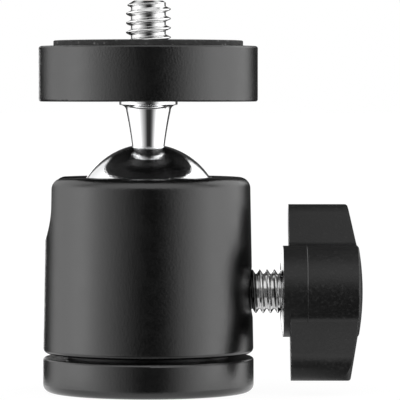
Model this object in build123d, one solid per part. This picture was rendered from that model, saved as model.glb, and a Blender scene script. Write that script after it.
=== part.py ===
from build123d import *
import os
from math import sqrt

# A small tripod ball head: a panning base, a barrel that holds the ball, and a camera platform
# on a stem.  A wing knob drives a cone under a ramp ring, which lifts the ball into its seat.
# Frame: millimetres, +Z up, origin in the middle of the base's underside at the mouth of the
# tripod socket, knob towards +X, drop notch towards -X.

# ---- driving sizes ----

# clearances
running_clearance = 0.05
seat_clearance = 0.01

# base disc, with the hub that the barrel turns on
base_radius = 14.3
base_height = 4.7
base_bottom_round = 1.1
base_top_round = 0.4
hub_radius = 6.4
pan_gap = 0.55

# tripod bushing, 3/8 inch outside and 1/4 inch inside
bushing_radius = 4.76
bushing_length = 8.0
bushing_slot_width = 1.2
bushing_slot_depth = 1.0
bushing_shoulder = 0.9
tripod_thread_radius = 3.2

# pan bearing
lower_washer_thickness = 0.35
upper_washer_thickness = 0.3
upper_washer_width = 1.6
floor_ring_ledge = 0.85
floor_ring_height = 3.0
spanner_hole_radius = 0.75
spanner_hole_depth = 1.6
circlip_thickness = 0.7
circlip_groove_depth = 0.6
circlip_reach = 1.0
circlip_opening = 3.0
circlip_shoulder = 0.7

# ball and its seat
ball_radius = 10.0

# barrel
barrel_setback = 0.03
barrel_taper = 0.45
lip_height = 5.5
barrel_top_round = 1.5
barrel_bottom_round = 0.75
lip_bevel = 0.2
notch_side_clearance = 1.9
notch_floor_clearance = 0.2

# clamp: cone, ramp ring, disc spring and cup
clamp_rise = 5.55
cone_slope = 0.2
cone_tip_reach = 4.0
cone_radius = 2.2
cone_edge = 0.25
cone_start_margin = 0.1
plug_length = 2.0
spigot_radius = 1.5
spigot_length = 2.0
ramp_slot_clearance = 0.3
ramp_bridge = 0.75
ramp_ring_clearance = 0.2
ramp_ring_edge = 0.3
spring_height = 1.3
spring_thickness = 0.35
spring_width = 1.5
cup_height = 2.5

# stem between the ball and the platform
stem_foot_radius = 2.22
stem_waist_radius = 2.71
stem_top_radius = 3.05
stem_taper_length = 4.91
stem_waist_share = 0.64
stem_collar_radius = 3.98
stem_collar_rim = 0.35
stem_collar_cone = 0.75
stem_spigot_radius = 2.0
stem_spigot_length = 7.0
spigot_end_edge = 0.4
register_radius = 2.6
register_height = 2.0

# camera platform, pad and stud
platform_radius = 14.85
platform_thickness = 7.5
platform_edge_round = 0.3
pad_radius = 12.85
pad_thickness = 1.15
pad_recess_depth = 0.4
pad_edge_round = 0.15
pad_hole_clearance = 0.35
stud_radius = 3.05
stud_standout = 5.4
stud_end_radius = 2.1
stud_end_edge = 0.7
stud_relief_radius = 2.3
stud_relief_rise = 0.3
stud_collar_radius = 4.9
stud_collar_height = 2.2
stud_shank_radius = 1.7
stud_shank_engagement = 3.0

# clamp screw and wing knob
screw_radius = 2.95
screw_shown_length = 4.0
screw_head_across_flats = 10.0
screw_head_height = 4.0
screw_mouth_edge = 0.6
hub_boss_radius = 6.2
hub_boss_length = 0.9
boss_cone_height = 0.3
boss_recess_radius = 3.95
boss_recess_depth = 1.0
hub_length = 10.8
hub_crown = 0.55
hub_edge_round = 0.4
wing_reach = 13.8
wing_thickness = 4.8
wing_root_round = 1.2
wing_root_depth = 9.2
wing_tip_depth = 7.9
wing_tip_round = 1.3
wing_back_round = 0.2
knob_turn = 36.0
head_cover = 3.6

# ---- sizes that follow ----

hub_bore = bushing_radius - bushing_shoulder
floor_ring_bottom = base_height + lower_washer_thickness
floor_ring_top = floor_ring_bottom + floor_ring_height
clamp_height = floor_ring_top + clamp_rise
ball_height = clamp_height + ball_radius
barrel_bottom = base_height + pan_gap
barrel_bottom_radius = base_radius - barrel_setback
barrel_top_radius = barrel_bottom_radius - barrel_taper
barrel_top = ball_height + lip_height
upper_washer_top = floor_ring_top + upper_washer_thickness
circlip_top = upper_washer_top + circlip_thickness
circlip_radius = hub_radius + circlip_reach
groove_radius = hub_radius - circlip_groove_depth
hub_top = circlip_top + circlip_shoulder

seat_radius = ball_radius + running_clearance
floor_ring_radius = seat_radius + floor_ring_ledge
slide_radius = seat_radius - running_clearance
ball_flat_height = ball_height + sqrt(ball_radius**2 - stem_foot_radius**2)

cone_start = slide_radius - cone_start_margin
plug_radius = screw_radius
plug_end = cone_start + plug_length
ramp_ring_bottom = floor_ring_top + spring_height
ramp_peak = clamp_height + cone_radius
ramp_ring_top = ramp_peak + ramp_bridge
ramp_ring_bore = sqrt(ball_radius**2 - (ball_height - ramp_ring_top) ** 2) + ramp_ring_clearance
cup_bottom = ramp_ring_top
cup_top = cup_bottom + cup_height

stem_top = ball_flat_height + stem_taper_length
platform_bottom = stem_top + stem_collar_cone + stem_collar_rim
platform_top = platform_bottom + platform_thickness
pad_bottom = platform_top - pad_recess_depth
pad_top = pad_bottom + pad_thickness
stud_top = pad_top + stud_standout
stud_relief_top = pad_top + stud_relief_rise
stud_collar_bottom = pad_bottom - stud_collar_height
register_top = platform_bottom + register_height
notch_half_width = stem_top_radius + notch_side_clearance
notch_floor = ball_height - stem_top_radius - notch_floor_clearance

knob_back = barrel_bottom_radius + screw_shown_length
boss_nose = knob_back - boss_cone_height
recess_end = boss_nose + boss_recess_depth
wing_back = knob_back + hub_boss_length
hub_end = knob_back + hub_length
head_start = hub_end - head_cover - screw_head_height
cross_bore_radius = screw_radius + running_clearance


# ---- helpers ----

standing = (Align.CENTER, Align.CENTER, Align.MIN)


def upright(radius, bottom, top):
    """A cylinder about the vertical axis between two heights."""
    return Pos(0, 0, bottom) * Cylinder(radius, top - bottom, align=standing)


def ring(inner, outer, bottom, top):
    """A flat ring about the vertical axis."""
    return upright(outer, bottom, top) - upright(inner, bottom, top)


def crosswise(radius, start, end):
    """A cylinder about the clamp's axis, between two distances from the barrel's axis."""
    rod = Cylinder(radius, end - start, align=standing)
    return Pos(start, 0, clamp_height) * Rot(0, 90, 0) * rod


def turned(points):
    """A solid turned about the vertical axis from a closed outline of (radius, height) points."""
    return revolve(make_face(Plane.XZ * Polyline(*points, close=True)), Axis.Z)


def turned_crosswise(points, rounds=()):
    """A solid turned about the clamp's axis from (distance from the barrel's axis, radius) points.

    Each round is a corner's place among the points, and its radius.
    """
    lifted = [(x, clamp_height + radius) for x, radius in points]
    outline = make_face(Polyline(*lifted, close=True))
    for place, size in rounds:
        outline = fillet(outline.vertices().sort_by_distance(lifted[place])[0], size)
    return revolve(Plane.XZ * outline, Axis((0, 0, clamp_height), (1, 0, 0)))


def edges_at(part, height, radius):
    """The circular edges of a part at one height and radius."""
    found = part.edges().filter_by(GeomType.CIRCLE)
    return [e for e in found if abs(e.center().Z - height) < 0.01 and abs(e.radius - radius) < 0.01]


# ---- base ----

def base_disc():
    disc = upright(base_radius, 0, base_height)
    disc = fillet(edges_at(disc, 0, base_radius), base_bottom_round)
    disc = fillet(edges_at(disc, base_height, base_radius), base_top_round)
    body = disc + upright(hub_radius, base_height, hub_top)
    body -= ring(groove_radius, circlip_radius, upper_washer_top, circlip_top)
    body -= upright(bushing_radius, 0, bushing_length)
    body -= upright(hub_bore, 0, hub_top)
    return body


def tripod_bushing():
    """The threaded sleeve, with a coin slot across its mouth."""
    body = ring(tripod_thread_radius, bushing_radius, 0, bushing_length)
    return body - Box(2 * bushing_radius, bushing_slot_width, 2 * bushing_slot_depth)


def pan_washer_lower():
    return ring(hub_radius + running_clearance, floor_ring_radius, base_height, floor_ring_bottom)


def pan_washer_upper():
    inner = hub_radius + running_clearance
    return ring(inner, inner + upper_washer_width, floor_ring_top, upper_washer_top)


def pan_circlip():
    clip = ring(groove_radius, circlip_radius, upper_washer_top, circlip_top)
    opening = Box(2 * circlip_radius, circlip_opening, 2 * circlip_thickness)
    return clip - Pos(-circlip_radius, 0, circlip_top) * opening


# ---- barrel ----

def floor_ring():
    body = ring(hub_radius + running_clearance, floor_ring_radius, floor_ring_bottom, floor_ring_top)
    middle = (hub_radius + floor_ring_radius) / 2
    hole = upright(spanner_hole_radius, floor_ring_bottom, floor_ring_bottom + spanner_hole_depth)
    for side in (-1, 1):
        body -= Pos(0, side * middle, 0) * hole
    return body


def barrel():
    height = barrel_top - barrel_bottom
    shell = Cone(barrel_bottom_radius, barrel_top_radius, height, align=standing)
    shell = Pos(0, 0, barrel_bottom) * shell
    shell = fillet(edges_at(shell, barrel_top, barrel_top_radius), barrel_top_round)
    shell = fillet(edges_at(shell, barrel_bottom, barrel_bottom_radius), barrel_bottom_round)
    shell -= upright(floor_ring_radius, barrel_bottom, floor_ring_top)
    shell -= upright(seat_radius, floor_ring_top, ball_height)
    shell -= Pos(0, 0, ball_height) * Sphere(seat_radius)
    lip_radius = sqrt(seat_radius**2 - (barrel_top - ball_height) ** 2)
    shell = chamfer(edges_at(shell, barrel_top, lip_radius), lip_bevel)
    shell -= crosswise(cross_bore_radius, 0, 2 * barrel_bottom_radius)
    mouth_start = barrel_bottom_radius - screw_mouth_edge
    shell -= turned_crosswise([
        (mouth_start, 0), (mouth_start, cross_bore_radius),
        (barrel_bottom_radius, cross_bore_radius + screw_mouth_edge), (barrel_bottom_radius, 0)])
    return shell - drop_notch()


def drop_notch():
    """The space that the stem drops into when the platform is turned on its side."""
    reach = barrel_bottom_radius
    outward = (Align.MAX, Align.CENTER, Align.MIN)
    open_top = Box(reach, 2 * notch_half_width, barrel_top - notch_floor, align=outward)
    round_floor = Rot(0, -90, 0) * Cylinder(notch_half_width, reach, align=standing)
    return Pos(0, 0, notch_floor + notch_half_width) * (open_top + round_floor)


# ---- clamp ----

def disc_spring():
    """A thin cone of spring steel between the floor ring and the ramp ring."""
    outer = slide_radius - ramp_ring_edge
    inner = outer - spring_width
    high = ramp_ring_bottom
    low = floor_ring_top
    return turned([
        (outer, low), (outer, low + spring_thickness), (inner, high), (inner, high - spring_thickness)])


def ramp_ring():
    body = ring(ramp_ring_bore, slide_radius, ramp_ring_bottom, ramp_ring_top)
    body = chamfer(edges_at(body, ramp_ring_bottom, slide_radius), ramp_ring_edge)
    low_end = cone_start - 2 * cone_tip_reach
    ramp = [
        (low_end, ramp_ring_bottom), (2 * slide_radius, ramp_ring_bottom),
        (2 * slide_radius, ramp_peak), (cone_start, ramp_peak),
        (low_end, ramp_peak - cone_slope * (cone_start - low_end))]
    half_width = cone_radius + ramp_slot_clearance
    slot = extrude(make_face(Plane.XZ * Polyline(*ramp, close=True)), half_width, both=True)
    return body - slot


def ball_cup():
    return upright(slide_radius, cup_bottom, cup_top) - Pos(0, 0, ball_height) * Sphere(seat_radius)


def thrust_cone():
    tip = cone_start - cone_tip_reach
    tip_radius = cone_radius - cone_slope * cone_tip_reach
    spigot_end = plug_end + spigot_length
    return turned_crosswise([
        (tip, 0), (tip, tip_radius - cone_edge),
        (tip + cone_edge, tip_radius + cone_slope * cone_edge),
        (cone_start, cone_radius), (cone_start + cone_start_margin + running_clearance, cone_radius),
        (cone_start + plug_radius - cone_radius, plug_radius), (plug_end, plug_radius),
        (plug_end, spigot_radius), (spigot_end, spigot_radius), (spigot_end, 0)])


def clamp_screw():
    shank = crosswise(screw_radius, plug_end, head_start)
    socket_end = plug_end + spigot_length + running_clearance
    shank -= crosswise(spigot_radius + seat_clearance, plug_end, socket_end)
    hexagon = RegularPolygon(screw_head_across_flats / 2, 6, major_radius=False)
    head = extrude(Plane.YZ.offset(head_start) * Pos(0, clamp_height) * hexagon, screw_head_height)
    return shank + head


# ---- ball, stem and platform ----

def ball():
    body = Pos(0, 0, ball_height) * Sphere(ball_radius)
    body -= upright(ball_radius, ball_flat_height, ball_height + 2 * ball_radius)
    bore_bottom = ball_flat_height - stem_spigot_length - running_clearance
    return body - upright(stem_spigot_radius + seat_clearance, bore_bottom, ball_flat_height)


def stem():
    spigot_bottom = ball_flat_height - stem_spigot_length
    waist_height = ball_flat_height + stem_waist_share * stem_taper_length
    collar_bottom = stem_top + stem_collar_cone
    bore_bottom = register_top - stud_shank_engagement - register_height
    bore = stud_shank_radius + seat_clearance
    taper = ThreePointArc(
        (stem_foot_radius, ball_flat_height), (stem_waist_radius, waist_height),
        (stem_top_radius, stem_top))
    upper = Polyline(
        (stem_top_radius, stem_top), (stem_collar_radius, collar_bottom),
        (stem_collar_radius, platform_bottom), (register_radius, platform_bottom),
        (register_radius, register_top), (bore, register_top), (bore, bore_bottom),
        (0, bore_bottom), (0, spigot_bottom),
        (stem_spigot_radius - spigot_end_edge, spigot_bottom),
        (stem_spigot_radius, spigot_bottom + spigot_end_edge),
        (stem_spigot_radius, ball_flat_height), (stem_foot_radius, ball_flat_height))
    return revolve(make_face(Plane.XZ * (taper + upper)), Axis.Z)


def platform():
    body = upright(platform_radius, platform_bottom, platform_top)
    rims = edges_at(body, platform_bottom, platform_radius) + edges_at(body, platform_top, platform_radius)
    body = fillet(rims, platform_edge_round)
    body -= upright(register_radius + seat_clearance, platform_bottom, register_top)
    body -= upright(stud_shank_radius + running_clearance, register_top, stud_collar_bottom)
    body -= upright(stud_collar_radius + running_clearance, stud_collar_bottom, pad_bottom)
    return body - upright(pad_radius + running_clearance, pad_bottom, platform_top)


def camera_pad():
    body = ring(stud_radius + pad_hole_clearance, pad_radius, pad_bottom, pad_top)
    return fillet(edges_at(body, pad_top, pad_radius), pad_edge_round)


def camera_stud():
    shank_bottom = register_top - register_height - stud_shank_engagement + running_clearance
    return turned([
        (0, shank_bottom), (stud_shank_radius, shank_bottom),
        (stud_shank_radius, stud_collar_bottom), (stud_collar_radius, stud_collar_bottom),
        (stud_collar_radius, pad_bottom), (stud_relief_radius, pad_bottom),
        (stud_relief_radius, stud_relief_top), (stud_radius, stud_relief_top),
        (stud_radius, stud_top - stud_end_edge), (stud_end_radius, stud_top), (0, stud_top)])


# ---- knob ----

def knob_outline():
    """The round hub with a wing on each side, seen along the clamp's axis."""
    bar = SlotOverall(2 * wing_reach, wing_thickness)
    outline = Circle(hub_boss_radius) + bar
    roots = [v for v in outline.vertices() if abs(Vector(v).length - hub_boss_radius) < 0.01]
    return fillet(roots, wing_root_round)


def crowned_hub():
    """The knob's round middle, from the coned boss at its back to the crowned outer end."""
    crown_radius = (hub_boss_radius**2 + hub_crown**2) / (2 * hub_crown)
    halfway = hub_boss_radius / 2
    crown_middle = (hub_end - crown_radius + sqrt(crown_radius**2 - halfway**2), halfway)
    rim = hub_end - hub_crown
    points = [
        (hub_end, 0), crown_middle, (rim, hub_boss_radius), (knob_back, hub_boss_radius),
        (boss_nose, boss_recess_radius), (recess_end, boss_recess_radius), (recess_end, 0)]
    lifted = [(x, clamp_height + radius) for x, radius in points]
    sides = Polyline(*lifted[2:], lifted[0])
    profile = make_face(Plane.XZ * (ThreePointArc(*lifted[:3]) + sides))
    corner = profile.vertices().sort_by(Axis.X)[-2:].sort_by(Axis.Z)[-1]
    profile = fillet(corner, hub_edge_round)
    return revolve(profile, Axis((0, 0, clamp_height), (1, 0, 0)))


def knob_body():
    plane = Plane(origin=(wing_back, 0, clamp_height), x_dir=(0, 0, 1), z_dir=(1, 0, 0))
    slab = extrude(plane * Rot(0, 0, -knob_turn) * knob_outline(), hub_length)
    root = wing_back + wing_root_depth
    tip = wing_back + wing_tip_depth
    corners = [
        (wing_back, 0), (wing_back, wing_reach), (tip, wing_reach), (root, hub_boss_radius), (root, 0)]
    limits = turned_crosswise(corners, rounds=[(1, wing_back_round), (2, wing_tip_round)])
    return (slab & limits) + crowned_hub() - clamp_screw()


PARTS = {
    "base_disc": base_disc,
    "tripod_bushing": tripod_bushing,
    "pan_washer_lower": pan_washer_lower,
    "pan_washer_upper": pan_washer_upper,
    "pan_circlip": pan_circlip,
    "floor_ring": floor_ring,
    "barrel": barrel,
    "disc_spring": disc_spring,
    "ramp_ring": ramp_ring,
    "ball_cup": ball_cup,
    "thrust_cone": thrust_cone,
    "clamp_screw": clamp_screw,
    "knob_body": knob_body,
    "ball": ball,
    "stem": stem,
    "platform": platform,
    "camera_pad": camera_pad,
    "camera_stud": camera_stud,
}

os.makedirs("parts", exist_ok=True)
for name, build in PARTS.items():
    export_step(build(), f"parts/{name}.step")
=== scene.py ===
from math import atan2, cos, pi, radians, sin, sqrt

import bmesh
import bpy
from mathutils import Matrix, Vector


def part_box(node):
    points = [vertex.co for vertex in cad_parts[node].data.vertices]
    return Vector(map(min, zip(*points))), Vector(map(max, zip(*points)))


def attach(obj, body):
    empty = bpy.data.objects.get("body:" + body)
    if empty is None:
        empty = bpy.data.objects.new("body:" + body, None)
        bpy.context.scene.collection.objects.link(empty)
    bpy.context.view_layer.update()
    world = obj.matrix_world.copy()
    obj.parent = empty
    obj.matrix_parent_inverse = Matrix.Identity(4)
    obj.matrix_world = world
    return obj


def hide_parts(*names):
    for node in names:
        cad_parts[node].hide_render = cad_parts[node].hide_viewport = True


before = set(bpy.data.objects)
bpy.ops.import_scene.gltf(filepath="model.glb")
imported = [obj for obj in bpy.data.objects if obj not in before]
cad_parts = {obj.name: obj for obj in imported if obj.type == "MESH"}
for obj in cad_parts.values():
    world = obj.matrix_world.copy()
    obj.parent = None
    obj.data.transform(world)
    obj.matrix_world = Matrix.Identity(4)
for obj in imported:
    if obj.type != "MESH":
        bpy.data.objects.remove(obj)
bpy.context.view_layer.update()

# A small tripod ball head, dressed over its CAD solids. Fifteen of them are shown as they are. Finer
# pieces stand for the stud, the stem and the clamp screw, with real threads and a smooth flare, and
# one more gives the tripod socket its thread. Lengths are in metres, +Z is up, the knob points
# towards +X and the drop notch towards -X.

MM = 0.001
MICRON = 0.000001

QUARTER_INCH_PITCH = 1.27 * MM
QUARTER_INCH_ROOT = 2.38 * MM
M6_PITCH = 1.0 * MM
M6_ROOT = 2.36 * MM
STUD_RADIUS = 3.05 * MM
SCREW_RADIUS = 2.95 * MM
BARREL_WALL = 14.3 * MM
SCREW_SHOWN_LENGTH = 4.0 * MM
KNOB_BACK = BARREL_WALL + SCREW_SHOWN_LENGTH
KNOB_PARTING_LINE = KNOB_BACK + 3.2 * MM


# ---- node helpers ----

# Places of the Mix node's factor and two values among its inputs.
MIX_LEVEL_INPUTS = (0, 2, 3)
MIX_COLOUR_INPUTS = (0, 6, 7)


def wire(tree, value, socket):
    """Feeds a socket from another node, or sets its own value."""
    if isinstance(value, bpy.types.NodeSocket):
        tree.links.new(value, socket)
    else:
        socket.default_value = value


def node(tree, kind, inputs=None, **settings):
    """A new node, with its settings set and its inputs fed by name."""
    made = tree.nodes.new(kind)
    for name, value in settings.items():
        setattr(made, name, value)
    for name, value in (inputs or {}).items():
        wire(tree, value, made.inputs[name])
    return made


def calc(tree, operation, *values):
    """One Math node."""
    made = node(tree, "ShaderNodeMath", operation=operation)
    for place, value in enumerate(values):
        wire(tree, value, made.inputs[place])
    return made.outputs[0]


def span(tree, value, low, high, out_low=0.0, out_high=1.0, kind="SMOOTHSTEP"):
    """One Map Range node, clamped."""
    made = node(tree, "ShaderNodeMapRange", interpolation_type=kind)
    for name, number in (("Value", value), ("From Min", low), ("From Max", high),
                         ("To Min", out_low), ("To Max", out_high)):
        wire(tree, number, made.inputs[name])
    return made.outputs["Result"]


def mix_levels(tree, factor, first, second):
    """One Mix node for plain numbers."""
    made = node(tree, "ShaderNodeMix", data_type="FLOAT")
    for place, value in zip(MIX_LEVEL_INPUTS, (factor, first, second)):
        wire(tree, value, made.inputs[place])
    return made.outputs[0]


def blend_colour(tree, factor, first, second):
    """One Mix node for colours."""
    made = node(tree, "ShaderNodeMix", data_type="RGBA")
    for place, value in zip(MIX_COLOUR_INPUTS, (factor, first, second)):
        wire(tree, value, made.inputs[place])
    return made.outputs[2]


def off_axis(tree, first, second):
    """The distance from an axis, out of the two coordinates across it."""
    return calc(tree, "SQRT", calc(
        tree, "ADD", calc(tree, "POWER", first, 2.0), calc(tree, "POWER", second, 2.0)))


def grey(value):
    return (value, value, value, 1.0)


# ---- shared shader groups ----

FLOAT, VECTOR = "NodeSocketFloat", "NodeSocketVector"


def new_group(name, inputs, outputs):
    """An empty shader group with its group input and output nodes."""
    tree = bpy.data.node_groups.new(name, "ShaderNodeTree")
    for label, kind, value in inputs:
        socket = tree.interface.new_socket(label, in_out="INPUT", socket_type=kind)
        if value is not None:
            socket.default_value = value
    for label, kind in outputs:
        tree.interface.new_socket(label, in_out="OUTPUT", socket_type=kind)
    return tree, tree.nodes.new("NodeGroupInput"), tree.nodes.new("NodeGroupOutput")


def place_group(tree, group, **values):
    """A shared group in a material, with its own values, such as Fine_Scale=3700.0."""
    made = tree.nodes.new("ShaderNodeGroup")
    made.node_tree = group
    for label, value in values.items():
        wire(tree, value, made.inputs[label.replace("_", " ")])
    return made


def grain_group():
    """Fine even grain: a height, and a mask that varies slowly, for roughness and tone."""
    tree, source, out = new_group(
        "surface_grain",
        [("Vector", VECTOR, None), ("Fine Scale", FLOAT, 7000.0), ("Coarse Scale", FLOAT, 220.0)],
        [("Height", FLOAT), ("Mottle", FLOAT)])
    fine = node(tree, "ShaderNodeTexNoise", {
        "Vector": source.outputs["Vector"], "Scale": source.outputs["Fine Scale"],
        "Detail": 3.0, "Roughness": 0.6})
    coarse = node(tree, "ShaderNodeTexNoise", {
        "Vector": source.outputs["Vector"], "Scale": source.outputs["Coarse Scale"],
        "Detail": 4.0, "Roughness": 0.55})
    tree.links.new(fine.outputs["Fac"], out.inputs["Height"])
    tree.links.new(coarse.outputs["Fac"], out.inputs["Mottle"])
    return tree


def edge_group():
    """Where an outer edge is painted bright, as wear on the anodised parts and as a painted highlight
    on the knob: 1 on a sharp corner, 0 on a face.
    """
    nearly_flat, sharp = 0.985, 0.86
    patch_levels = (0.42, 0.68)
    tree, source, out = new_group(
        "edge_wear_and_highlight",
        [("Vector", VECTOR, None), ("Width", FLOAT, 0.15 * MM), ("Amount", FLOAT, 0.5)],
        [("Mask", FLOAT)])
    soft = node(tree, "ShaderNodeBevel", {"Radius": source.outputs["Width"]}, samples=6)
    flat = node(tree, "ShaderNodeNewGeometry")
    turn = node(tree, "ShaderNodeVectorMath", {
        0: soft.outputs["Normal"], 1: flat.outputs["Normal"]}, operation="DOT_PRODUCT")
    corner = span(tree, turn.outputs["Value"], nearly_flat, sharp)
    patchy = node(tree, "ShaderNodeTexNoise", {
        "Vector": source.outputs["Vector"], "Scale": 900.0, "Detail": 3.0})
    wear_and_highlight = span(tree, patchy.outputs["Fac"], *patch_levels)
    mask = calc(tree, "MULTIPLY", calc(tree, "MULTIPLY", corner, wear_and_highlight), source.outputs["Amount"])
    tree.links.new(mask, out.inputs["Mask"])
    return tree


def hairline_group():
    """Hairline wiping marks in three directions, as a height and as a roughness mask."""
    wiping_turns = ((0.3, 0.5, 0.1), (1.2, -0.4, 0.9), (-0.7, 1.1, 2.1))
    long_and_thin = (1.0, 14.0, 1.0)
    line_levels = (0.62, 0.72)
    tree, source, out = new_group(
        "hairline_marks",
        [("Vector", VECTOR, None), ("Scale", FLOAT, 700.0)],
        [("Height", FLOAT), ("Mask", FLOAT)])
    total = None
    for turn in wiping_turns:
        laid = node(tree, "ShaderNodeMapping", {
            "Vector": source.outputs["Vector"], "Rotation": turn, "Scale": long_and_thin})
        line = node(tree, "ShaderNodeTexNoise", {
            "Vector": laid.outputs["Vector"], "Scale": source.outputs["Scale"],
            "Detail": 2.0, "Distortion": 0.4})
        thin = span(tree, line.outputs["Fac"], *line_levels)
        total = thin if total is None else calc(tree, "ADD", total, thin)
    tree.links.new(total, out.inputs["Mask"])
    tree.links.new(calc(tree, "MULTIPLY", total, -1.0), out.inputs["Height"])
    return tree


GRAIN = grain_group()
EDGES = edge_group()
HAIRLINES = hairline_group()


# ---- materials ----

# The part of a noise's range that most of it falls in.
NOISE_MIDDLE = (0.3, 0.7)


def new_material(name, centre=(0.0, 0.0, 0.0), **settings):
    """A material with its Principled shader, and the piece's own coordinates about a centre."""
    material = bpy.data.materials.new(name)
    material.use_nodes = True
    tree = material.node_tree
    shader = tree.nodes["Principled BSDF"]
    for label, value in settings.items():
        shader.inputs[label.replace("_", " ")].default_value = value
    own = node(tree, "ShaderNodeTexCoord")
    centred = node(tree, "ShaderNodeMapping", {
        "Vector": own.outputs["Object"], "Location": centre})
    return material, tree, shader, centred.outputs["Vector"]


def feed(tree, shader, **values):
    """Links values to the shader's sockets, such as Base_Color=tint."""
    for label, value in values.items():
        tree.links.new(value, shader.inputs[label.replace("_", " ")])


def drift(tree, noise, low, high):
    """A number that drifts between two values with a noise."""
    return span(tree, noise, *NOISE_MIDDLE, low, high)


def mottled(tree, noise, dark, pale):
    """A colour that drifts between two others with a noise."""
    return blend_colour(tree, span(tree, noise, *NOISE_MIDDLE), dark, pale)


def bump(tree, shader, height, distance, strength=1.0, under=None):
    """Raises the shader's normal by a height, on top of an earlier bump where there is one."""
    made = node(tree, "ShaderNodeBump", {
        "Height": height, "Distance": distance, "Strength": strength})
    if under is not None:
        tree.links.new(under, made.inputs["Normal"])
    tree.links.new(made.outputs["Normal"], shader.inputs["Normal"])
    return made.outputs["Normal"]


def black_anodised(name, grain_depth, turning_lines=None):
    """Bead-blasted and anodised aluminium: black, with a fine even grain, edges that are rubbed
    in places, and faint turning lines where their number of radians a metre is given."""
    pits, peaks, bare_metal = grey(0.0014), grey(0.00504), grey(0.16)
    material, tree, shader, place = new_material(name, IOR=1.67)
    grain = place_group(tree, GRAIN, Vector=place, Fine_Scale=3700.0, Coarse_Scale=420.0)
    wear_and_highlight = place_group(tree, EDGES, Vector=place, Width=0.12 * MM, Amount=0.25)
    speckle = span(tree, grain.outputs["Height"], 0.35, 0.65)
    tint = blend_colour(tree, speckle, pits, peaks)
    tint = blend_colour(tree, wear_and_highlight.outputs["Mask"], tint, bare_metal)
    feed(tree, shader, Base_Color=tint,
         Roughness=drift(tree, grain.outputs["Mottle"], 0.2, 0.265))
    normal = bump(tree, shader, grain.outputs["Height"], grain_depth)
    if turning_lines:
        parts = node(tree, "ShaderNodeSeparateXYZ", {"Vector": place})
        lines = calc(tree, "SINE", calc(tree, "MULTIPLY", parts.outputs["Z"], turning_lines))
        bump(tree, shader, lines, 2 * MICRON, 0.3, under=normal)
    return material


def polished(name, tone, roughness, waves=None):
    """Bright plated metal with wiping marks, and with the waviness that plating leaves where its
    depth is given."""
    cool = (tone * 0.985, tone * 0.99, tone, 1.0)
    clear = (tone * 1.01, tone * 1.01, tone * 1.015, 1.0)
    material, tree, shader, place = new_material(name, Metallic=1.0)
    marks = place_group(tree, HAIRLINES, Vector=place, Scale=520.0)
    grain = place_group(tree, GRAIN, Vector=place, Fine_Scale=2400.0, Coarse_Scale=240.0)
    rough = calc(
        tree, "ADD", drift(tree, grain.outputs["Mottle"], roughness * 0.8, roughness * 1.25),
        calc(tree, "MULTIPLY", marks.outputs["Mask"], 0.03))
    feed(tree, shader, Base_Color=mottled(tree, grain.outputs["Mottle"], cool, clear),
         Roughness=rough)
    normal = bump(tree, shader, marks.outputs["Height"], 0.8 * MICRON, 0.25)
    if waves:
        bump(tree, shader, grain.outputs["Height"], waves, under=normal)
    return material


def plated_thread(name, tone, roughness, root, crest, across=False, axis_height=0.0, painted_shade_span=None):
    """Plated thread: bright crests, and roots painted darker as painted shade. Its axis is Z, or one
    along X at a height, and between two places on X it comes out of a dark band of painted shade."""
    bright, root_shade, black, painted_shade = grey(tone), grey(tone * 0.75), grey(0.0), grey(0.1)
    material, tree, shader, place = new_material(name, (0.0, 0.0, -axis_height), Metallic=1.0)
    parts = node(tree, "ShaderNodeSeparateXYZ", {"Vector": place})
    reach = off_axis(tree, parts.outputs["Z" if across else "X"], parts.outputs["Y"])
    depth = span(tree, reach, root, crest)
    grain = place_group(tree, GRAIN, Vector=place, Fine_Scale=5200.0, Coarse_Scale=700.0)
    # Crests keep the plated tone and roots are painted darker: painted shade in the thread's hollows.
    tint = blend_colour(tree, depth, root_shade, bright)
    dulled = blend_colour(tree, 0.93, black, tint)
    tint = blend_colour(tree, span(tree, grain.outputs["Mottle"], 0.35, 0.7), tint, dulled)
    # Between two places on X the thread is painted nearly black: painted shade where the screw enters
    # the barrel.
    if painted_shade_span:
        tint = blend_colour(tree, span(tree, parts.outputs["X"], *painted_shade_span), painted_shade, tint)
    rough = calc(
        tree, "ADD", span(tree, depth, 0.0, 1.0, roughness + 0.04, roughness),
        calc(tree, "MULTIPLY", grain.outputs["Mottle"], 0.06))
    feed(tree, shader, Base_Color=tint, Roughness=rough)
    bump(tree, shader, grain.outputs["Height"], 6 * MICRON, 0.4)
    return material


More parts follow.
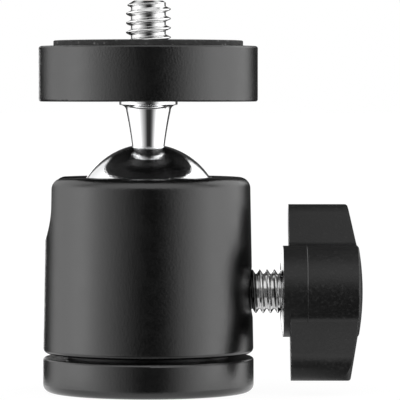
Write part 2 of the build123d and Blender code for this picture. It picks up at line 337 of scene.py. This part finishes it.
def moulded_black(name, parting_line, smooth_nose):
    """Black moulded nylon: a fine spark-eroded texture that stops at the nose, which the mould left
    smooth, the mould's parting line as a raised ridge with a painted highlight on its upper part, and
    a painted highlight along sharp edges."""
    dark, pale, speck = grey(0.0036), grey(0.0068), grey(0.015)
    painted_edge_highlight, painted_ridge_highlight = grey(0.15), grey(0.11)
    ridge_foot, ridge_top, ridge_fade = 9.5 * MM, 20.0 * MM, 0.5 * MM
    ridge_sides = (0.08 * MM, 0.02 * MM)
    ridge_highlight_start = (13.5 * MM, 15.5 * MM)
    nose_edge = 0.08 * MM
    material, tree, shader, place = new_material(name, IOR=1.42)
    grain = place_group(tree, GRAIN, Vector=place, Fine_Scale=2400.0, Coarse_Scale=120.0)
    edge_highlight = place_group(tree, EDGES, Vector=place, Width=0.16 * MM, Amount=0.8)
    parts = node(tree, "ShaderNodeSeparateXYZ", {"Vector": place})
    along, _, height = parts.outputs
    away = calc(tree, "ABSOLUTE", calc(tree, "SUBTRACT", along, parting_line))
    on_hub = calc(tree, "MULTIPLY", span(tree, height, ridge_foot, ridge_foot + ridge_fade),
                  span(tree, height, ridge_top, ridge_top - ridge_fade))
    ridge = calc(tree, "MULTIPLY", span(tree, away, *ridge_sides), on_hub)
    textured = span(tree, along, smooth_nose, smooth_nose + nose_edge)
    specks = span(tree, grain.outputs["Height"], 0.52, 0.72)
    tint = mottled(tree, grain.outputs["Mottle"], dark, pale)
    tint = blend_colour(tree, calc(tree, "MULTIPLY", specks, textured), tint, speck)
    # Sharp edges are painted paler: a painted highlight along the knob's rounded edges.
    tint = blend_colour(tree, edge_highlight.outputs["Mask"], tint, painted_edge_highlight)
    # Above a height the parting-line ridge is painted bright: a painted highlight on the lit upper
    # part of the hub.
    ridge_highlight = calc(tree, "MULTIPLY", ridge, span(tree, height, *ridge_highlight_start))
    tint = blend_colour(tree, ridge_highlight, tint, painted_ridge_highlight)
    rough = drift(tree, grain.outputs["Height"], 0.38, 0.5)
    feed(tree, shader, Base_Color=tint, Roughness=mix_levels(tree, textured, 0.1, rough))
    texture = calc(tree, "MULTIPLY", grain.outputs["Height"], textured)
    normal = bump(tree, shader, texture, 40 * MICRON, 0.9)
    bump(tree, shader, ridge, 50 * MICRON, under=normal)
    return material


def pad_rubber(name):
    """Dark rubber and cork mix with paler specks."""
    dark, pale, cork = grey(0.012), grey(0.028), grey(0.16)
    material, tree, shader, place = new_material(name, IOR=1.5)
    specks = node(tree, "ShaderNodeTexVoronoi", {"Vector": place, "Scale": 2300.0}, feature="F1")
    grain = place_group(tree, GRAIN, Vector=place, Fine_Scale=5200.0, Coarse_Scale=900.0)
    parts = node(tree, "ShaderNodeSeparateColor", {"Color": specks.outputs["Color"]})
    grains_of_cork = calc(
        tree, "MULTIPLY", span(tree, parts.outputs[0], 0.72, 0.95),
        span(tree, specks.outputs["Distance"], 0.5, 0.2))
    tint = mottled(tree, grain.outputs["Mottle"], dark, pale)
    feed(tree, shader, Base_Color=blend_colour(tree, grains_of_cork, tint, cork),
         Roughness=drift(tree, grain.outputs["Height"], 0.62, 0.85))
    normal = bump(tree, shader, specks.outputs["Distance"], 60 * MICRON, 0.5)
    bump(tree, shader, grain.outputs["Height"], 30 * MICRON, 0.6, under=normal)
    return material


def turned_steel(name, ring_turns):
    """Steel with the fine rings that turning leaves, by their number of radians a metre."""
    material, tree, shader, place = new_material(name, Metallic=1.0)
    parts = node(tree, "ShaderNodeSeparateXYZ", {"Vector": place})
    reach = off_axis(tree, parts.outputs["X"], parts.outputs["Y"])
    rings = calc(tree, "SINE", calc(tree, "MULTIPLY", reach, ring_turns))
    grain = place_group(tree, GRAIN, Vector=place, Fine_Scale=3000.0, Coarse_Scale=420.0)
    feed(tree, shader, Base_Color=mottled(tree, grain.outputs["Mottle"], grey(0.4), grey(0.5)),
         Roughness=drift(tree, grain.outputs["Mottle"], 0.26, 0.4))
    bump(tree, shader, rings, 2.5 * MICRON, 0.4)
    return material


def bearing_plastic(name):
    """Graphite-filled acetal, near black, with a slight waxy mottle."""
    material, tree, shader, place = new_material(name, IOR=1.48)
    grain = place_group(tree, GRAIN, Vector=place, Fine_Scale=2600.0, Coarse_Scale=380.0)
    feed(tree, shader, Base_Color=mottled(tree, grain.outputs["Mottle"], grey(0.012), grey(0.022)),
         Roughness=drift(tree, grain.outputs["Height"], 0.38, 0.5))
    bump(tree, shader, grain.outputs["Height"], 10 * MICRON, 0.4)
    return material


# ---- threads ----

THREAD_SIDES = 96
THREAD_ROWS = 16
# A bevel this long, in metres, is none on a thread of a few millimetres.
NO_BEVEL = 1.0


def geometry_tree(name, inputs):
    """An empty Geometry Nodes tree with its group input and output nodes."""
    tree = bpy.data.node_groups.new(name, "GeometryNodeTree")
    for label, kind in (("Geometry", "NodeSocketGeometry"), *inputs):
        tree.interface.new_socket(label, in_out="INPUT", socket_type=kind)
    tree.interface.new_socket("Geometry", in_out="OUTPUT", socket_type="NodeSocketGeometry")
    return tree, tree.nodes.new("NodeGroupInput"), tree.nodes.new("NodeGroupOutput")


def screw_thread_tree():
    """A right-hand thread's flanks as one skin about Z: a sheet wound round the axis, a pitch
    higher after each turn, with its radius from the place within the pitch."""
    tree, source, out = geometry_tree("screw_thread", [
        ("Pitch", FLOAT), ("Turns", FLOAT), ("Bottom", FLOAT), ("Root Radius", FLOAT),
        ("Crest Radius", FLOAT), ("Root Flat", FLOAT), ("Crest Flat", FLOAT), ("Top", FLOAT),
        ("End Radius", FLOAT), ("End Bevel", FLOAT), ("Sides", "NodeSocketInt"),
        ("Rows", "NodeSocketInt"), ("Material", "NodeSocketMaterial")])
    given = source.outputs
    rows = calc(tree, "ADD", calc(tree, "MULTIPLY", given["Turns"], given["Rows"]), 1.0)
    sheet = node(tree, "GeometryNodeMeshGrid", {
        "Size X": 1.0, "Size Y": 1.0, "Vertices X": calc(tree, "ADD", given["Sides"], 1.0),
        "Vertices Y": rows})
    where = node(tree, "ShaderNodeSeparateXYZ", {
        "Vector": node(tree, "GeometryNodeInputPosition").outputs[0]})
    around = calc(tree, "ADD", where.outputs["X"], 0.5)
    along = calc(tree, "MULTIPLY", calc(tree, "ADD", where.outputs["Y"], 0.5), given["Turns"])
    height = calc(tree, "ADD", given["Bottom"], calc(
        tree, "MULTIPLY", calc(tree, "ADD", along, around), given["Pitch"]))

    # Within a pitch the radius rises from the root to the crest and falls again, with a flat on each.
    part = calc(tree, "FRACT", along)
    rise = calc(tree, "SUBTRACT", 1.0, calc(tree, "ABSOLUTE", calc(
        tree, "SUBTRACT", calc(tree, "MULTIPLY", part, 2.0), 1.0)))
    crest_start = calc(tree, "SUBTRACT", 1.0, given["Crest Flat"])
    flank = span(tree, rise, given["Root Flat"], crest_start, kind="LINEAR")
    thread_depth = calc(tree, "SUBTRACT", given["Crest Radius"], given["Root Radius"])
    reach = calc(tree, "ADD", given["Root Radius"], calc(tree, "MULTIPLY", flank, thread_depth))

    # The bevel at the top cuts the crests down towards the end's radius.
    slope = calc(tree, "DIVIDE", calc(
        tree, "SUBTRACT", given["Crest Radius"], given["End Radius"]), given["End Bevel"])
    limit = calc(tree, "ADD", given["End Radius"], calc(
        tree, "MULTIPLY", calc(tree, "SUBTRACT", given["Top"], height), slope))
    reach = calc(tree, "MINIMUM", reach, limit)

    angle = calc(tree, "MULTIPLY", around, 2 * pi)
    spot = node(tree, "ShaderNodeCombineXYZ", {
        "X": calc(tree, "MULTIPLY", reach, calc(tree, "COSINE", angle)),
        "Y": calc(tree, "MULTIPLY", reach, calc(tree, "SINE", angle)), "Z": height})
    wound = node(tree, "GeometryNodeSetPosition", {
        "Geometry": sheet.outputs["Mesh"], "Position": spot.outputs[0]})
    sewn = node(tree, "GeometryNodeMergeByDistance", {
        "Geometry": wound.outputs[0], "Distance": 2 * MICRON})
    smooth = node(tree, "GeometryNodeSetShadeSmooth", {"Geometry": sewn.outputs[0]})
    real = node(tree, "GeometryNodeRealizeInstances", {"Geometry": smooth.outputs[0]})
    dressed = node(tree, "GeometryNodeSetMaterial", {
        "Geometry": real.outputs[0], "Material": given["Material"]})
    tree.links.new(dressed.outputs[0], out.inputs["Geometry"])
    return tree


THREAD = screw_thread_tree()


def grown(name, tree, values):
    """The mesh that a Geometry Nodes tree makes from named values."""
    holder = bpy.data.objects.new(name, bpy.data.meshes.new(name))
    bpy.context.scene.collection.objects.link(holder)
    modifier = holder.modifiers.new("shape", "NODES")
    modifier.node_group = tree
    for item in tree.interface.items_tree:
        if item.in_out == "INPUT" and item.name in values:
            modifier[item.identifier] = values[item.name]
    graph = bpy.context.evaluated_depsgraph_get()
    mesh = bpy.data.meshes.new_from_object(holder.evaluated_get(graph))
    bpy.data.objects.remove(holder)
    return mesh


def cut_flat(shape, low, high, capped):
    """Cuts an upright skin flat at two heights, and closes both ends with flat caps if asked."""
    for level, outwards in ((low, -1.0), (high, 1.0)):
        parts = shape.verts[:] + shape.edges[:] + shape.faces[:]
        cut = bmesh.ops.bisect_plane(
            shape, geom=parts, dist=0.1 * MICRON, plane_co=(0, 0, level), plane_no=(0, 0, outwards),
            clear_outer=True)
        if capped:
            rim = [e for e in cut["geom_cut"] if isinstance(e, bmesh.types.BMEdge)]
            bmesh.ops.holes_fill(shape, edges=rim, sides=0)
    for cap in [f for f in shape.faces if len(f.verts) > 4]:
        cap.smooth = False
        for edge in cap.edges:
            edge.smooth = False


def thread_skin(name, material, pitch, low, high, root, crest, start, end_radius, root_flat,
                crest_flat, bevel=NO_BEVEL, capped=True):
    """A thread's skin about Z, its crest on the +X side at height start plus whole pitches. It is
    wound with turns to spare, with the crest half a pitch up, and then cut flat at both ends."""
    spare_turns = 2
    turns = int((high - low) / pitch) + 2 * spare_turns
    bottom = start - (int((start - low) / pitch) + spare_turns + 0.5) * pitch
    mesh = grown(name, THREAD, {
        "Pitch": pitch, "Turns": float(turns), "Bottom": bottom, "Root Radius": root,
        "Crest Radius": crest, "Root Flat": root_flat, "Crest Flat": crest_flat, "Top": high,
        "End Radius": end_radius, "End Bevel": bevel, "Sides": THREAD_SIDES,
        "Rows": THREAD_ROWS, "Material": material})
    shape = bmesh.new()
    shape.from_mesh(mesh)
    bpy.data.meshes.remove(mesh)
    cut_flat(shape, low, high, capped)
    return shape


# ---- turned and finished pieces ----

SHARP_EDGE = radians(30)


def circle_of_points(shape, radius, height, sides):
    """Adds points round Z at one height, the first on the +X side."""
    turns = [2 * pi * k / sides for k in range(sides)]
    return [shape.verts.new((radius * cos(turn), radius * sin(turn), height)) for turn in turns]


def lathe(shape, outline, sides=64):
    """Adds a closed solid turned about Z from (radius, height) points, first and last on the axis.
    Its faces shade smooth, apart from the sharp edges."""
    rings = [circle_of_points(shape, radius, height, sides if radius else 1)
             for radius, height in outline]
    made = []
    for lower, upper in zip(rings, rings[1:]):
        for k in range(sides):
            n = (k + 1) % sides
            if len(lower) == 1:
                corners = (lower[0], upper[n], upper[k])
            elif len(upper) == 1:
                corners = (lower[k], lower[n], upper[0])
            else:
                corners = (lower[k], lower[n], upper[n], upper[k])
            made.append(shape.faces.new(corners))
    bmesh.ops.recalc_face_normals(shape, faces=made)
    for face in made:
        face.smooth = True
        for edge in face.edges:
            edge.smooth = edge.calc_face_angle(0.0) < SHARP_EDGE


def three_point_arc(start, through, end, steps):
    """Points on the circle through three points, from the first to the last."""
    (ax, ay), (bx, by), (cx, cy) = start, through, end
    twice = 2 * (ax * (by - cy) + bx * (cy - ay) + cx * (ay - by))
    sa, sb, sc = ax * ax + ay * ay, bx * bx + by * by, cx * cx + cy * cy
    x = (sa * (by - cy) + sb * (cy - ay) + sc * (ay - by)) / twice
    y = (sa * (cx - bx) + sb * (ax - cx) + sc * (bx - ax)) / twice
    first, last = atan2(ay - y, ax - x), atan2(cy - y, cx - x)
    turn = (last - first + pi) % (2 * pi) - pi
    radius = sqrt((ax - x) ** 2 + (ay - y) ** 2)
    angles = [first + turn * k / steps for k in range(steps + 1)]
    return [(x + radius * cos(angle), y + radius * sin(angle)) for angle in angles]


def piece(name, shape, material, body, stands_for=()):
    """Makes an object of a bmesh at the origin, and ties it to its body."""
    mesh = bpy.data.meshes.new(name)
    bmesh.ops.recalc_face_normals(shape, faces=shape.faces[:])
    shape.to_mesh(mesh)
    shape.free()
    mesh.materials.clear()
    mesh.materials.append(material)
    made = bpy.data.objects.new(name, mesh)
    bpy.context.scene.collection.objects.link(made)
    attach(made, body)
    if stands_for:
        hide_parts(*stands_for)


# ---- dress the CAD nodes ----

# In radians a metre: a turning line every 0.17 mm, and a ring every 0.07 mm.
PLATFORM_TURNING = 36000.0
STEEL_RINGS = 90000.0

ANODISED = black_anodised("black_anodised", 28 * MICRON)
PLATFORM_BLACK = black_anodised("black_anodised_turned", 36 * MICRON, PLATFORM_TURNING)
CHROME = polished("chrome_polished", 0.88, 0.035, waves=20 * MICRON)
STEM_CHROME = polished("chrome_stem", 0.9, 0.06)
STEEL = turned_steel("steel_turned", STEEL_RINGS)
PLASTIC = bearing_plastic("acetal_graphite")
KNOB_BLACK = moulded_black("nylon_moulded", KNOB_PARTING_LINE, smooth_nose=KNOB_BACK)
RUBBER = pad_rubber("pad_speckled")

for finish, node_names in (
        (ANODISED, ("base_disc", "barrel", "floor_ring")),
        (PLATFORM_BLACK, ("platform",)),
        (RUBBER, ("camera_pad",)),
        (CHROME, ("ball",)),
        (KNOB_BLACK, ("knob_body",)),
        (STEEL, ("tripod_bushing", "pan_circlip", "disc_spring", "ramp_ring", "thrust_cone")),
        (PLASTIC, ("pan_washer_lower", "pan_washer_upper", "ball_cup"))):
    for node_name in node_names:
        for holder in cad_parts[node_name].material_slots:
            holder.material = finish


# ---- camera stud ----

# The stud's collar lies under the pad, and its shank goes down into the stem. The thread starts a
# little way down in the collar, and on the +X side a crest lies at STUD_CREST_HEIGHT.
STUD_TIP_RADIUS = 2.0 * MM
STUD_TIP_BEVEL = 0.7 * MM
STUD_CREST_HEIGHT = 48.06 * MM
STUD_SHANK_RADIUS = 1.7 * MM
STUD_COLLAR_RADIUS = 4.9 * MM
STUD_COLLAR_HEIGHT = 2.2 * MM
THREAD_SUNK = 0.1 * MM

stud_low, stud_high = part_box("camera_stud")
collar_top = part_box("camera_pad")[0].z
collar_bottom = collar_top - STUD_COLLAR_HEIGHT
STUD_PLATING = plated_thread("plated_stud", 0.95, 0.06, QUARTER_INCH_ROOT, STUD_RADIUS)
stud = thread_skin(
    "camera_stud_thread", STUD_PLATING, QUARTER_INCH_PITCH, collar_top - THREAD_SUNK,
    stud_high.z, QUARTER_INCH_ROOT, STUD_RADIUS, STUD_CREST_HEIGHT, STUD_TIP_RADIUS,
    root_flat=0.4, crest_flat=0.12, bevel=STUD_TIP_BEVEL)
lathe(stud, [
    (0, stud_low.z), (STUD_SHANK_RADIUS, stud_low.z), (STUD_SHANK_RADIUS, collar_bottom),
    (STUD_COLLAR_RADIUS, collar_bottom), (STUD_COLLAR_RADIUS, collar_top), (0, collar_top)])
piece("camera_stud_thread", stud, STUD_PLATING, "stem", ["camera_stud"])


# ---- stem ----

# The outline is in millimetres, as (radius, height) points. The foot lies a hair inside the ball's
# flat, so that the two faces don't coincide. One arc runs from it through the waist to the neck, and
# a round flare leads from there to the collar under the platform. A spigot goes down into the ball
# and a register up into the platform, with the bore for the stud's shank.
STEM_FOOT = (2.22, 33.35)
STEM_WAIST = (2.71, 36.49)
STEM_NECK = (3.03, 38.1)
STEM_COLLAR_RIM = (3.98, 38.98)
STEM_COLLAR_BREAK = 0.05
TAPER_STEPS = 24
FLARE_RADIUS = 0.8
FLARE_ANGLES = range(8, 88, 8)
SPIGOT_RADIUS = 2.0
SPIGOT_BEVEL = 0.4
REGISTER_RADIUS = 2.6
STUD_BORE_RADIUS = 1.71
STUD_BORE_DEPTH = 5.0
STEM_SIDES = 144

stem_bottom, stem_top = (corner.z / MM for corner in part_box("stem"))
under_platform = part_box("platform")[0].z / MM
foot_height = STEM_FOOT[1]
neck_radius, neck_height = STEM_NECK
collar_radius, rim_height = STEM_COLLAR_RIM
bore_floor = stem_top - STUD_BORE_DEPTH
taper = three_point_arc(STEM_FOOT, STEM_WAIST, STEM_NECK, TAPER_STEPS)
flare = [(neck_radius + FLARE_RADIUS * (1 - cos(radians(t))),
          neck_height + FLARE_RADIUS * sin(radians(t))) for t in FLARE_ANGLES]
stem_outline = [
    (0, stem_bottom), (SPIGOT_RADIUS - SPIGOT_BEVEL, stem_bottom),
    (SPIGOT_RADIUS, stem_bottom + SPIGOT_BEVEL), (SPIGOT_RADIUS, foot_height),
    *taper, *flare, (collar_radius - STEM_COLLAR_BREAK, rim_height - STEM_COLLAR_BREAK),
    (collar_radius, rim_height), (collar_radius, under_platform),
    (REGISTER_RADIUS, under_platform), (REGISTER_RADIUS, stem_top),
    (STUD_BORE_RADIUS, stem_top), (STUD_BORE_RADIUS, bore_floor), (0, bore_floor)]
stem = bmesh.new()
lathe(stem, [(radius * MM, height * MM) for radius, height in stem_outline], sides=STEM_SIDES)
piece("stem_flared", stem, STEM_CHROME, "stem", ["stem"])


# ---- socket thread ----

# The ridges stand on the socket's plain wall. Their outer skin lies inside the bushing.
SOCKET_ROOT = 3.22 * MM
SOCKET_CREST = 2.62 * MM
SOCKET_OUTER = 3.3 * MM
SOCKET_MOUTH = 1.05 * MM
SOCKET_END_GAP = 0.05 * MM
SOCKET_CREST_RISE = 2.0 * MM


def open_rim(shape, height):
    """The open edges of a skin at one height."""
    return [e for e in shape.edges if e.is_boundary and all(
        abs(v.co.z - height) < MICRON for v in e.verts)]


bushing_low, bushing_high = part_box("tripod_bushing")
socket_ends = (bushing_low.z + SOCKET_MOUTH, bushing_high.z - SOCKET_END_GAP)
socket = thread_skin(
    "bushing_thread", STEEL, QUARTER_INCH_PITCH, *socket_ends, SOCKET_ROOT, SOCKET_CREST,
    bushing_low.z + SOCKET_CREST_RISE, SOCKET_OUTER, root_flat=0.12, crest_flat=0.25,
    capped=False)
outer_rims = []
for height in socket_ends:
    inner_rim = open_rim(socket, height)
    ring = circle_of_points(socket, SOCKET_OUTER, height, THREAD_SIDES)
    outer_rim = [socket.edges.new((ring[k], ring[(k + 1) % THREAD_SIDES]))
                 for k in range(THREAD_SIDES)]
    bmesh.ops.bridge_loops(socket, edges=inner_rim + outer_rim)
    outer_rims += outer_rim
bmesh.ops.bridge_loops(socket, edges=outer_rims)
piece("bushing_thread", socket, STEEL, "base")


# ---- clamp screw ----

# An M6 screw with its hexagon head, 10 mm across flats, moulded into the knob. It is wound upright
# and then laid along X, and on its lower side a crest lies at SCREW_CREST_PLACE.
SCREW_CREST_PLACE = 14.6 * MM
HEAD_HEIGHT = 4.0 * MM
HEAD_CORNER_RADIUS = 5.7735 * MM
HEAD_OVERLAP = 0.05 * MM
# How far out from the barrel's wall the screw's thread is painted dark, as painted shade.
PAINTED_SHADE_LENGTH = 0.7 * MM

screw_low, screw_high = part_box("clamp_screw")
clamp_height = (screw_low.z + screw_high.z) / 2
head_start = screw_high.x - HEAD_HEIGHT
SCREW_PLATING = plated_thread(
    "plated_screw", 0.95, 0.07, M6_ROOT, SCREW_RADIUS, across=True, axis_height=clamp_height,
    painted_shade_span=(BARREL_WALL, BARREL_WALL + PAINTED_SHADE_LENGTH))
screw = thread_skin(
    "clamp_screw_thread", SCREW_PLATING, M6_PITCH, screw_low.x, head_start + HEAD_OVERLAP,
    M6_ROOT, SCREW_RADIUS, SCREW_CREST_PLACE, SCREW_RADIUS, root_flat=0.1,
    crest_flat=0.14)
inner_face = circle_of_points(screw, HEAD_CORNER_RADIUS, head_start, 6)
outer_face = circle_of_points(screw, HEAD_CORNER_RADIUS, screw_high.x, 6)
screw.faces.new(inner_face[::-1])
screw.faces.new(outer_face)
for k in range(6):
    n = (k + 1) % 6
    screw.faces.new((inner_face[k], inner_face[n], outer_face[n], outer_face[k]))
bmesh.ops.transform(
    screw, verts=screw.verts,
    matrix=Matrix.Translation((0, 0, clamp_height)) @ Matrix.Rotation(radians(90), 4, "Y"))
piece("clamp_screw_thread", screw, SCREW_PLATING, "knob", ["clamp_screw"])


# ---- floor ----

TABLE_REACH = 6.0
TABLE_HEIGHT = -0.01 * MM
TABLE_SHADE_SHARE = 0.1
TABLE_WHITE = 1.05
DARK_TABLE = (-13 * MM, -19 * MM)
MIRRORED_TABLE = (19 * MM, 32 * MM)


def floor_material():
    """Pale table: it takes the object's shadow, and most of it shows as the white backdrop. In
    front of the object, reflections look past it to the dark side of the studio, and from below
    the underside shows through it."""
    material, tree, shader, place = new_material("pale_table", Roughness=0.8)
    shader.inputs["Base Color"].default_value = grey(0.8)
    shader.inputs["Specular IOR Level"].default_value = 0.0
    seen = node(tree, "ShaderNodeLightPath").outputs
    any_seen = calc(
        tree, "MAXIMUM", calc(tree, "MAXIMUM", seen["Is Camera Ray"], seen["Is Glossy Ray"]),
        seen["Is Transmission Ray"])
    white = node(tree, "ShaderNodeEmission", {"Color": grey(1.0), "Strength": TABLE_WHITE})
    pale = node(tree, "ShaderNodeMixShader", {
        0: calc(tree, "MULTIPLY", any_seen, 1 - TABLE_SHADE_SHARE),
        1: shader.outputs[0], 2: white.outputs[0]})
    parts = node(tree, "ShaderNodeSeparateXYZ", {"Vector": place})
    distance = node(tree, "ShaderNodeVectorMath", {0: place}, operation="LENGTH")
    ahead = calc(tree, "MAXIMUM", span(tree, parts.outputs["Y"], *DARK_TABLE),
                 span(tree, distance.outputs["Value"], *MIRRORED_TABLE))
    passed = calc(tree, "MULTIPLY", ahead, seen["Is Glossy Ray"])
    from_below = node(tree, "ShaderNodeNewGeometry").outputs["Backfacing"]
    clear = node(tree, "ShaderNodeBsdfTransparent")
    mixed = node(tree, "ShaderNodeMixShader", {
        0: calc(tree, "MAXIMUM", from_below, passed), 1: pale.outputs[0], 2: clear.outputs[0]})
    tree.links.new(mixed.outputs[0], tree.nodes["Material Output"].inputs["Surface"])
    return material


floor_mesh = bpy.data.meshes.new("table_top")
floor_mesh.from_pydata(
    [(x * TABLE_REACH, y * TABLE_REACH, TABLE_HEIGHT)
     for x, y in ((-1, -1), (1, -1), (1, 1), (-1, 1))], [], [(0, 1, 2, 3)])
floor_mesh.materials.append(floor_material())
table_top = bpy.data.objects.new("table_top", floor_mesh)
bpy.context.scene.collection.objects.link(table_top)


# ---- light ----

# The studio, as brightness against direction, in degrees. The walls go by the turn round the
# object, 0 towards the camera and positive towards the knob. Above them hangs a ceiling that is
# bright only in front, and well below the horizon all is dim. Straight behind the object the walls
# have a dark gap, wider low down, and in it hangs a small bright backdrop.
WALLS = [
    (-180, 1.1), (-148, 0.8), (-130, 0.98), (-114, 1.15), (-102, 1.42), (-90, 1.75),
    (-75, 2.08), (-60, 1.33), (-43, 0.8), (-30, 0.46), (-16, 0.19), (-7, 0.03),
    (10, 0.02), (18, 0.06), (25, 0.2), (34, 0.55), (44, 0.95), (60, 1.5),
    (75, 1.95), (90, 1.75), (106, 1.58), (116, 1.5), (128, 1.35), (142, 1.1), (180, 1.2)]
BRIGHTEST = 2.2
LIGHT_STRENGTH = 1.16
CEILING_FRONT = 1.15
CEILING_BACK = 0.35
CEILING_FALL = (66, 90)
FRONT_EAVES = (16, 30)
BACK_EAVES = (50, 66)
# The front's eaves give way to the back's between these shares of a direction's way to the back.
FRONT_TO_BACK = (-0.1, 0.3)
LOW_WALLS = (-24, -44)
LOW_LEVEL = 0.14
BACKDROP_TURN = -9
BACKDROP_EDGE = (8, 5)
BACKDROP = 1.8
GAP_EDGE = (58, 36)
GAP_TOP = (8, 16)
GAP_STRIP = (26, 18)
GAP = 0.04


def edge_between(tree, angle, degrees):
    """A mask that goes from 0 to 1 between two angles."""
    return span(tree, angle, *map(radians, degrees))


def wall_brightness(tree, east, south):
    """The brightness of the walls, by the turn round the object."""
    turn = calc(tree, "ADD", calc(
        tree, "DIVIDE", calc(tree, "ARCTAN2", east, south), 2 * pi), 0.5)
    walls = node(tree, "ShaderNodeValToRGB", {"Fac": turn})
    stops = walls.color_ramp.elements
    while len(stops) > 1:
        stops.remove(stops[0])
    for place, (degrees, level) in enumerate(WALLS):
        where = (degrees + 180) / 360
        stop = stops[0] if place == 0 else stops.new(where)
        stop.position = where
        stop.color = grey(level / BRIGHTEST)
    return calc(tree, "MULTIPLY", walls.outputs["Color"], BRIGHTEST)


def studio():
    """The world: the studio for the object, and plain white for the camera."""
    world = bpy.data.worlds.new("studio")
    bpy.context.scene.world = world
    world.use_nodes = True
    tree = world.node_tree
    tree.nodes.clear()
    way = node(tree, "ShaderNodeSeparateXYZ", {
        "Vector": node(tree, "ShaderNodeTexCoord").outputs["Generated"]})
    east, north, up = way.outputs
    south = calc(tree, "MULTIPLY", north, -1.0)
    rise = calc(tree, "ARCSINE", up)

    above = mix_levels(
        tree, span(tree, north, *FRONT_TO_BACK), edge_between(tree, rise, FRONT_EAVES),
        edge_between(tree, rise, BACK_EAVES))
    ceiling = span(
        tree, calc(tree, "ARCTAN2", up, south), *map(radians, CEILING_FALL), CEILING_FRONT,
        CEILING_BACK)
    level = mix_levels(tree, above, wall_brightness(tree, east, south), ceiling)
    level = mix_levels(tree, edge_between(tree, rise, LOW_WALLS), level, LOW_LEVEL)

    off_back = calc(tree, "ARCCOSINE", north)
    beside = calc(tree, "ARCTAN2", calc(tree, "ABSOLUTE", east), north)
    low_down = calc(tree, "SUBTRACT", 1.0, edge_between(tree, rise, GAP_TOP))
    gap = calc(
        tree, "MAXIMUM", edge_between(tree, beside, GAP_STRIP),
        calc(tree, "MULTIPLY", edge_between(tree, off_back, GAP_EDGE), low_down))
    level = mix_levels(tree, gap, level, GAP)
    off_backdrop = calc(tree, "ARCCOSINE", calc(
        tree, "ADD", calc(tree, "MULTIPLY", east, sin(radians(BACKDROP_TURN))),
        calc(tree, "MULTIPLY", north, cos(radians(BACKDROP_TURN)))))
    level = mix_levels(tree, edge_between(tree, off_backdrop, BACKDROP_EDGE), level, BACKDROP)

    lit = node(tree, "ShaderNodeBackground", {"Color": level, "Strength": LIGHT_STRENGTH})
    white = node(tree, "ShaderNodeBackground", {"Color": grey(1.0), "Strength": 1.0})
    seen = node(tree, "ShaderNodeLightPath").outputs
    mixed = node(tree, "ShaderNodeMixShader", {
        0: seen["Is Camera Ray"], 1: lit.outputs[0], 2: white.outputs[0]})
    end = node(tree, "ShaderNodeOutputWorld")
    tree.links.new(mixed.outputs[0], end.inputs["Surface"])


studio()
bpy.context.scene.view_settings.view_transform = "Standard"


# ---- camera ----

CAMERA_DISTANCE = 475 * MM
CAMERA_HEIGHT = 40.7 * MM
AIM = Vector((7.01 * MM, 0.0, 26.0 * MM))
SEEN_WIDTH = 54.28 * MM
SENSOR = 36.0

camera_data = bpy.data.cameras.new("camera")
camera_data.sensor_width = SENSOR
camera_data.clip_start = 0.05
camera_data.clip_end = 50.0
camera = bpy.data.objects.new("camera", camera_data)
bpy.context.scene.collection.objects.link(camera)
camera.location = (AIM.x, -CAMERA_DISTANCE, CAMERA_HEIGHT)
aim_way = AIM - camera.location
camera_data.lens = SENSOR * aim_way.length / SEEN_WIDTH
camera.rotation_mode = "QUATERNION"
camera.rotation_quaternion = aim_way.to_track_quat("-Z", "Y")
bpy.context.scene.camera = camera
